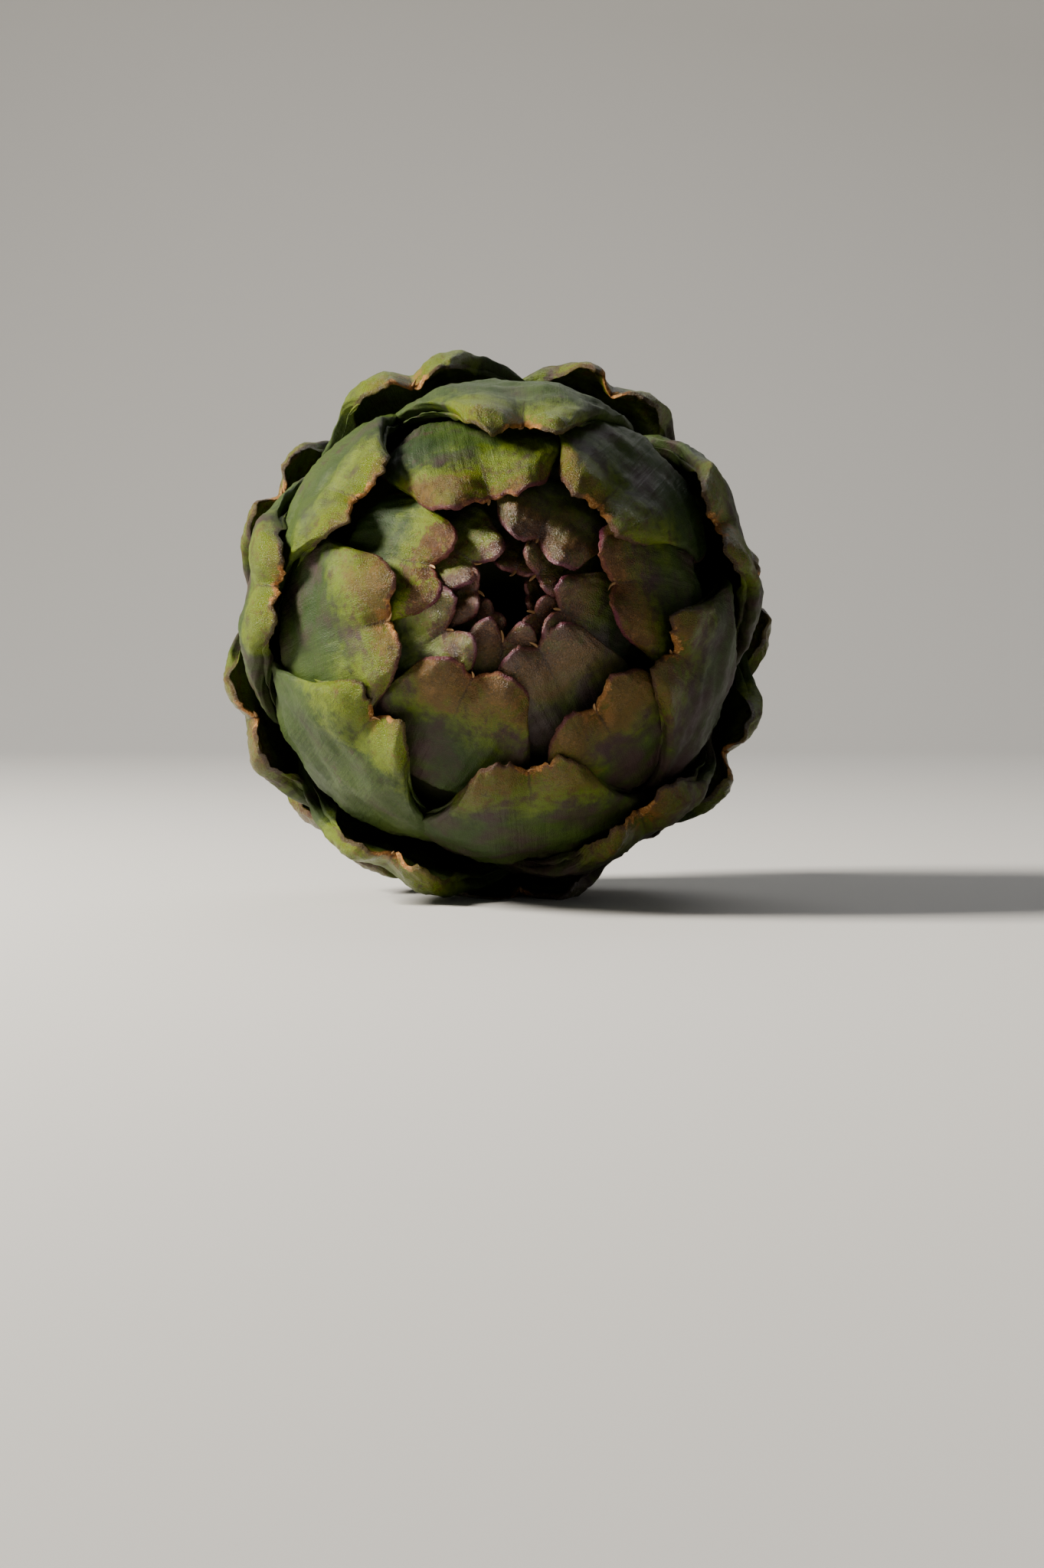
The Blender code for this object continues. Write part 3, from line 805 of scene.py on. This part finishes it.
print("age grows by", round(1 / BRACT_COUNT, 3), "a bract, and the crown tier ends at",
      round(CROWN_END / BRACT_COUNT, 2))

# %% [markdown]
# Bellies are olive green with darker streaks along the leaf, greyer and waxier on the outer bracts.
# Some have a purple cast, most of all the ones with a strong blush.

# %% The belly
DEEP_GREEN, OLIVE, WAXY_GREEN = (0.012, 0.03, 0.003), (0.038, 0.067, 0.004), (0.036, 0.058, 0.013)
PURPLE_CAST = (0.042, 0.018, 0.024)
WAXY_AGES, WAXY_FROM = (0.35, 0.6), (0.006, 0.018)
CAST_SPREAD, CAST_BLUSH = 2.4, 0.42


def percent(colour):
    """How much light a colour throws back, in percent."""
    return round(100 * sum(colour) / 3, 1)


def belly_colour(skin, leaf):
    belly = skin.mix(skin.step(skin.noise(40, 3.0), 0.36, 0.64), DEEP_GREEN, OLIVE)
    waxy = skin.step(leaf.back, *WAXY_FROM, 0.2, 0.8)
    belly = skin.mix(skin.work("MULTIPLY", skin.step(leaf.age, *WAXY_AGES), waxy), belly, WAXY_GREEN)
    belly = skin.mix(skin.step(leaf.streak, 0.48, 0.8, 0.0, 0.55), belly, DEEP_GREEN)
    belly = skin.mix(skin.step(leaf.mottle, 0.5, 0.66, 0.0, 0.5), belly, DEEP_GREEN)
    cast = skin.work("MULTIPLY", leaf.off_patch, CAST_SPREAD)
    cast = skin.work("ADD", cast, skin.work("SUBTRACT", leaf.blush, CAST_BLUSH))
    return skin.mix(skin.step(cast, -0.1, 0.6, 0.0, 0.85), belly, PURPLE_CAST)


print("the belly throws back", percent(OLIVE), "% of the light, and its streaks", percent(DEEP_GREEN), "%")

# %% [markdown]
# Towards the tip the leaf turns a fresh yellow-green. Over that lie the lobes, purple-brown on the
# young bracts and olive-brown on older ones, with a golden-brown middle and a few rosy patches,
# partly the lobes' own tone and partly painted highlight.

# %% Tips and lobes
YELLOW_GREEN, YELLOW_BROWN = (0.1, 0.137, 0.002), (0.125, 0.07, 0.007)
OLIVE_BROWN, PURPLE_BROWN, ROSE_TONE_AND_HIGHLIGHT = (0.088, 0.054, 0.011), (0.06, 0.022, 0.011), (0.24, 0.11, 0.038)
GOLDEN = (0.098, 0.06, 0.012)
FRESH_REACH = (0.016, 0.006)
LOBE_AGES, LOBE_REACH_AGES, LOBE_FADE_AGES = (0.22, 0.4), (0.34, 0.5), (0.3, 0.6)
YOUNG_LOBE_REACH, OLD_LOBE_REACH = 0.0088, 0.0045
GOLDEN_INSIDE = (0.0012, 0.0052)


def tip_colour(skin, leaf, colour):
    brown = skin.work("MULTIPLY", skin.work("SUBTRACT", leaf.blush, 0.5), 0.3)
    brown = skin.work("ADD", leaf.mottle, brown)
    fresh = skin.mix(skin.step(brown, 0.48, 0.66), YELLOW_GREEN, YELLOW_BROWN)
    share = skin.step(leaf.behind, *FRESH_REACH)
    share = skin.work("MULTIPLY", share, skin.step(leaf.blush, 0.2, 0.9, 1.0, 0.5))
    return skin.mix(share, colour, fresh)


def lobe_colour(skin, leaf, colour):
    lobe = skin.mix(skin.step(leaf.age, *LOBE_AGES), PURPLE_BROWN, OLIVE_BROWN)
    inner = skin.work("ADD", leaf.inward, skin.work("MULTIPLY", leaf.off_patch, 0.008))
    lobe = skin.mix(skin.step(inner, *GOLDEN_INSIDE, 0.0, 0.7), lobe, GOLDEN)
    # rosy patches: partly the lobe's own tone and partly painted highlight
    lobe = skin.mix(skin.step(leaf.mottle, 0.5, 0.72, 0.0, 0.4), lobe, ROSE_TONE_AND_HIGHLIGHT)
    reach = skin.step(leaf.age, *LOBE_REACH_AGES, YOUNG_LOBE_REACH, OLD_LOBE_REACH)
    reach = skin.work("MULTIPLY", reach, skin.step(leaf.blush, 0.0, 1.0, 0.45, 1.4))
    share = skin.step(skin.work("DIVIDE", leaf.behind, reach), 1.05, 0.5)
    share = skin.work("MULTIPLY", share, skin.step(leaf.age, *LOBE_FADE_AGES, 1.0, 0.45))
    thinned = skin.step(skin.noise(260, 5.0, 0.65), 0.38, 0.52, 0.55, 1.0)
    return skin.mix(skin.work("MULTIPLY", share, thinned), colour, lobe)


print("fresh tips throw back", percent(YELLOW_GREEN), "% of the light, and young lobes",
      percent(PURPLE_BROWN), "%")

# %% [markdown]
# Pale specks cover the tips, partly pale down and partly painted glints of light on it. Dark pores
# dot the whole leaf, with a scar here and there.
# Young edges carry a thin violet rim, while older ones are worn dark.

# %% Specks, scars and rims
VIOLET_RIM = (0.095, 0.015, 0.033)
# dark marks: real pores, scars and worn edges, and also the painted shade of the crease
SCAR_AND_SHADE = (0.035, 0.02, 0.011)
DOWN_REACH = (0.014, 0.004)
VIOLET_WIDTH, WORN_WIDTH = (0.001, 0.0003), (0.0008, 0.0002)
VIOLET_AGES, WORN_AGES = (0.28, 0.5), (0.3, 0.5)


def speckled(skin, leaf, colour):
    # painted glints: pale specks near the tip, partly the down's own paleness and partly painted highlight
    glint = skin.step(leaf.speck, 0.58, 0.68, 0.0, 0.75)
    glint = skin.work("MULTIPLY", glint, skin.step(leaf.back, *DOWN_REACH, 0.12, 1.0))
    colour = skin.mix(glint, colour, skin.mix(skin.step(leaf.age, 0.25, 0.45), ROSE_TONE_AND_HIGHLIGHT, YELLOW_BROWN))
    colour = skin.mix(skin.step(leaf.speck, 0.42, 0.34, 0.0, 0.55), colour, SCAR_AND_SHADE)
    scars = skin.step(skin.noise(170, 7.0, 0.78), 0.605, 0.65)
    return skin.mix(skin.work("MULTIPLY", scars, 0.75), colour, SCAR_AND_SHADE)


def rimmed(skin, leaf, colour):
    rim = skin.step(leaf.inward, *VIOLET_WIDTH)
    rim = skin.work("MULTIPLY", rim, skin.step(leaf.patch, 0.35, 0.6, 0.6, 1.0))
    rim = skin.work("MULTIPLY", rim, skin.step(leaf.age, *VIOLET_AGES, 1.0, 0.35))
    colour = skin.mix(rim, colour, VIOLET_RIM)
    worn = skin.step(leaf.inward, *WORN_WIDTH)
    worn = skin.work("MULTIPLY", worn, skin.step(leaf.age, *WORN_AGES, 0.0, 0.75))
    worn = skin.work("MULTIPLY", worn, skin.step(leaf.patch, 0.42, 0.56, 0.35, 1.0))
    return skin.mix(worn, colour, SCAR_AND_SHADE)


print("scars throw back", percent(SCAR_AND_SHADE), "% of the light, and the violet rim", percent(VIOLET_RIM), "%")

# %% [markdown]
# Notches dry out with age. Their edge turns orange-brown, with a small torn patch, and a thin dark
# line of painted shade runs back from it along the crease.

# %% Dried notches
DRIED, DRIED_PALE = (0.27, 0.11, 0.022), (0.55, 0.33, 0.12)
DRY_AGES = (0.26, 0.42)
DRY_WIDTH, DRY_REACH, TORN_REACH = (0.0009, 0.0003), (0.0055, 0.003), (0.003, 0.001)
DRY_WANDER, EDGE_WANDER = 0.012, 0.005
CREASE_WIDTH, CREASE_LENGTH, CREASE_WANDER = (0.0003, 0.0001), (0.016, 0.006), 0.002


def notch_colour(skin, leaf, colour):
    """The colour with its dried notch, and how dry each place is."""
    near = skin.work("ADD", leaf.to_notch, skin.work("MULTIPLY", leaf.off_patch, DRY_WANDER))
    dry = skin.work("ADD", leaf.inward, skin.work("MULTIPLY", leaf.off_mottle, EDGE_WANDER))
    dry = skin.work("MULTIPLY", skin.step(dry, *DRY_WIDTH), skin.step(near, *DRY_REACH))
    dry = skin.work("MULTIPLY", dry, skin.step(leaf.age, *DRY_AGES, 0.15, 1.0))
    colour = skin.mix(dry, colour, skin.mix(skin.step(leaf.speck, 0.5, 0.65), DRIED, DRIED_PALE))
    torn = skin.step(near, *TORN_REACH, 0.0, 0.55)
    torn = skin.work("MULTIPLY", torn, skin.step(leaf.mottle, 0.44, 0.56))
    torn = skin.work("MULTIPLY", torn, skin.step(leaf.age, *DRY_AGES, 0.1, 1.0))
    colour = skin.mix(torn, colour, DRIED)
    # painted shade: a thin dark line along the middle crease behind the notch
    crooked = skin.work("ADD", leaf.across, skin.work("MULTIPLY", leaf.off_mottle, CREASE_WANDER))
    crease_shade = skin.step(skin.work("ABSOLUTE", crooked, 0.0), *CREASE_WIDTH)
    crease_shade = skin.work("MULTIPLY", crease_shade, skin.step(leaf.back, *CREASE_LENGTH, 0.0, 0.6))
    return skin.mix(crease_shade, colour, SCAR_AND_SHADE), dry


print("dried edges throw back", percent(DRIED), "% of the light, and the palest", percent(DRIED_PALE), "%")

# %% [markdown]
# Tips shine more than bellies, and dried places less. The grain is pits, mottles and streaks, too
# fine for the mesh. The innermost bracts have the same colours under a glossier skin.

# %% Leaf skin
YOUNG_GLOSS, OLD_GLOSS = 0.7, 0.22
TIP_ROUGHNESS, BELLY_ROUGHNESS, DRY_ROUGHENING = 0.22, 0.5, 0.3
BELLY_FROM = (0.004, 0.012)
PIT_SCALE, MOTTLE_RISE, STREAK_RISE = 4200, 0.7, 0.5
GRAIN_STRENGTH, GRAIN_DEPTH = 0.85, 0.0003


def shine_and_grain(skin, leaf, dry):
    dull = skin.step(leaf.back, *BELLY_FROM, TIP_ROUGHNESS, BELLY_ROUGHNESS)
    dull = skin.work("ADD", dull, skin.step(leaf.mottle, 0.35, 0.7, -0.02, 0.1))
    dull = skin.work("ADD", dull, skin.work("MULTIPLY", dry, DRY_ROUGHENING))
    skin.put(dull, skin.shader.inputs["Roughness"])
    pits = skin.noise(PIT_SCALE, 2.0, 0.7)
    pits = skin.work("MULTIPLY", pits, skin.step(leaf.back, *DOWN_REACH, 0.5, 1.3))
    grain = skin.work("ADD", pits, skin.work("MULTIPLY", leaf.mottle, MOTTLE_RISE))
    grain = skin.work("ADD", grain, skin.work("MULTIPLY", leaf.streak, STREAK_RISE))
    skin.bump(grain, GRAIN_STRENGTH, GRAIN_DEPTH)


def leaf_skin(name, gloss):
    skin = Finish(name, Subsurface_Weight=0.03, Subsurface_Radius=(0.0015, 0.002, 0.0006),
                  Specular_IOR_Level=gloss)
    leaf = leaf_values(skin)
    colour = belly_colour(skin, leaf)
    for layer in (tip_colour, lobe_colour, speckled, rimmed):
        colour = layer(skin, leaf, colour)
    colour, dry = notch_colour(skin, leaf, colour)
    skin.put(colour, skin.shader.inputs["Base Color"])
    shine_and_grain(skin, leaf, dry)
    return skin.material


young_skin = leaf_skin("young_leaf_skin", YOUNG_GLOSS)
old_skin = leaf_skin("leaf_skin", OLD_GLOSS)
print(old_skin.name, len(old_skin.node_tree.nodes), "nodes")

# %% [markdown]
# The heart is coloured nearly black, painted shade for the dark between the leaves. Spines are dry
# and tan. The stem's cut face is pale and corky with a darker ring of fibres inside its rind, and
# its side is streaked green.

# %% Heart, spines and stem
# painted shade: the heart is coloured near black to stand for the dark between the leaves
HEART_DEEP_SHADE, HEART_SOFT_SHADE = (0.018, 0.02, 0.007), (0.045, 0.05, 0.014)
SPINE_TAN, SPINE_BROWN = (0.42, 0.25, 0.1), (0.24, 0.12, 0.045)
PITH, CORK, FIBRE_RING, RIND = (0.44, 0.37, 0.2), (0.3, 0.2, 0.095), (0.2, 0.13, 0.055), (0.2, 0.2, 0.07)


def shaded_heart_flesh():
    flesh = Finish("shaded_heart_flesh", Roughness=0.6)
    flesh.put(flesh.mix(flesh.noise(200), HEART_DEEP_SHADE, HEART_SOFT_SHADE), flesh.shader.inputs["Base Color"])
    flesh.bump(flesh.noise(600), 0.4, 0.0004)
    return flesh.material


def dry_spine():
    spine = Finish("dry_spine", Roughness=0.55)
    spine.put(spine.mix(spine.noise(900), SPINE_BROWN, SPINE_TAN), spine.shader.inputs["Base Color"])
    return spine.material


def stem_fibre():
    stem = Finish("stem_fibre", Roughness=0.75)
    share = stem.work("ADD", stem.stored("from_middle"), stem.work("MULTIPLY", stem.noise(350), 0.16))
    face = stem.mix(stem.step(stem.noise(260, 6.0, 0.7), 0.38, 0.66), PITH, CORK)
    ring = stem.work("MULTIPLY", stem.step(share, 0.74, 0.82), stem.step(stem.noise(1300, 2.0), 0.45, 0.55))
    face = stem.mix(ring, face, FIBRE_RING)
    side = stem.mix(stem.step(stem.noise(420, 5.0, 0.6, (1, 0.15, 1)), 0.4, 0.62), RIND, CORK)
    colour = stem.mix(stem.step(share, 0.98, 1.08), face, side)
    stem.put(colour, stem.shader.inputs["Base Color"])
    stem.bump(stem.noise(1100, 5.0, 0.7), 0.5, 0.0005)
    return stem.material


for tier in tiers:
    tier.data.materials.append(young_skin if tier is crown_bracts else old_skin)
heart.data.materials.append(shaded_heart_flesh())
spines.data.materials.append(dry_spine())
cut_stem.data.materials.append(stem_fibre())
print("finishes:", sorted(material.name for material in bpy.data.materials))

# %% [markdown]
# Every piece rides on the part's only body, and the packed pieces that it stands for are hidden.

# %% Joining the frame
for piece in (*tiers, heart, spines):
    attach(piece, "root")
    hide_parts("bract_head")
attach(cut_stem, "root")
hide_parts("stem_stub")
print("pieces joined:", len(tiers) + 3)

# %% [markdown]
# The studio is a plain pale sweep: a floor that curves up behind, so that no horizon shows.

# %% Floor
SWEEP_SIDE = 3.0
SWEEP_FRONT, SWEEP_BACK = -1.2, 0.7
SWEEP_RADIUS = 0.5
SWEEP_HEIGHT = 2.0
SWEEP_STEPS = 24


def floor_piece():
    bend = [math.pi / 2 * step / SWEEP_STEPS for step in range(SWEEP_STEPS + 1)]
    line = [(SWEEP_FRONT, 0.0)]
    line += [(SWEEP_BACK + SWEEP_RADIUS * math.sin(a), SWEEP_RADIUS * (1 - math.cos(a))) for a in bend]
    line.append((SWEEP_BACK + SWEEP_RADIUS, SWEEP_HEIGHT))
    points = np.array([(side, y, z) for y, z in line for side in (-SWEEP_SIDE, SWEEP_SIDE)])
    faces = [(2 * i, 2 * i + 1, 2 * i + 3, 2 * i + 2) for i in range(len(line) - 1)]
    return mesh_object("floor", points, faces)


floor = floor_piece()
floor.data.materials.append(Finish("pale_floor", Base_Color=(0.62, 0.61, 0.59, 1), Roughness=0.8).material)
floor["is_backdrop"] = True
print("floor laid")

# %% [markdown]
# The camera looks level at the tip, as the photograph's does. Its distance can't be read from the
# photograph, so 60 cm is a guess. The lens is worked out so that the head is as wide in the frame
# as it is there, and the camera's turn puts the head's centre where it is there.

# %% Camera
FRAME_WIDE, FRAME_HIGH = 1363, 2048
HEAD_SPAN_PX = 716
HEAD_CENTRE_PX = (652.0, 819.5)
DISTANCE = 0.60
SENSOR = 36.0

focal_px = HEAD_SPAN_PX / head_width * DISTANCE
camera_data = bpy.data.cameras.new("camera")
camera_data.sensor_width = SENSOR
camera_data.lens = focal_px / FRAME_HIGH * SENSOR
camera_data.clip_start, camera_data.clip_end = 0.01, 20
camera = bpy.data.objects.new("camera", camera_data)
camera.location = head_centre + Vector((0, -DISTANCE, 0))
down = math.atan((FRAME_HIGH / 2 - HEAD_CENTRE_PX[1]) / focal_px)
left = math.atan((FRAME_WIDE / 2 - HEAD_CENTRE_PX[0]) / focal_px)
camera.rotation_euler = (math.pi / 2 - down, 0, -left)
bpy.context.scene.collection.objects.link(camera)
bpy.context.scene.camera = camera
print("lens", round(camera_data.lens, 1), "mm, pitched", round(math.degrees(down), 2), "degrees down")

# %% [markdown]
# The main light is a soft panel above the left side and a little in front, so that it rakes over
# the lobes as it does in the photograph. A larger one could be softer still, but the slots between
# the bracts would lose their shadows. A wide weak light opens the right side, and one behind
# separates the head from the floor.

# %% Lights


def soft_light(name, place, size, power, colour):
    data = bpy.data.lights.new(name, "AREA")
    data.size, data.energy, data.color = size, power, colour
    made = bpy.data.objects.new(name, data)
    made.location = place
    made.rotation_euler = (head_centre - Vector(place)).to_track_quat("-Z", "Y").to_euler()
    bpy.context.scene.collection.objects.link(made)


soft_light("key", (-0.62, -0.1, 0.46), 0.22, 20.0, (1.0, 0.94, 0.84))
soft_light("fill", (0.8, -0.6, 0.4), 0.9, 0.4, (0.95, 0.97, 1.0))
soft_light("back", (0.1, 0.7, 0.8), 0.7, 2.5, (1.0, 1.0, 1.0))
world = bpy.data.worlds.new("studio")
world.use_nodes = True
sky = world.node_tree.nodes["Background"]
sky.inputs["Color"].default_value = (0.92, 0.95, 1.0, 1)
sky.inputs["Strength"].default_value = 0.09
bpy.context.scene.world = world

# %% [markdown]
# How far the dressed model stands proud of the packed one's box is printed.

# %% Sizes
visual_low, visual_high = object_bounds()
grown = [round(1000 * (low - seen), 2) for low, seen in zip(cad_low, visual_low)]
grown += [round(1000 * (seen - high), 2) for high, seen in zip(cad_high, visual_high)]
print("stands proud of the frame by", grown, "mm")

# %% [markdown]
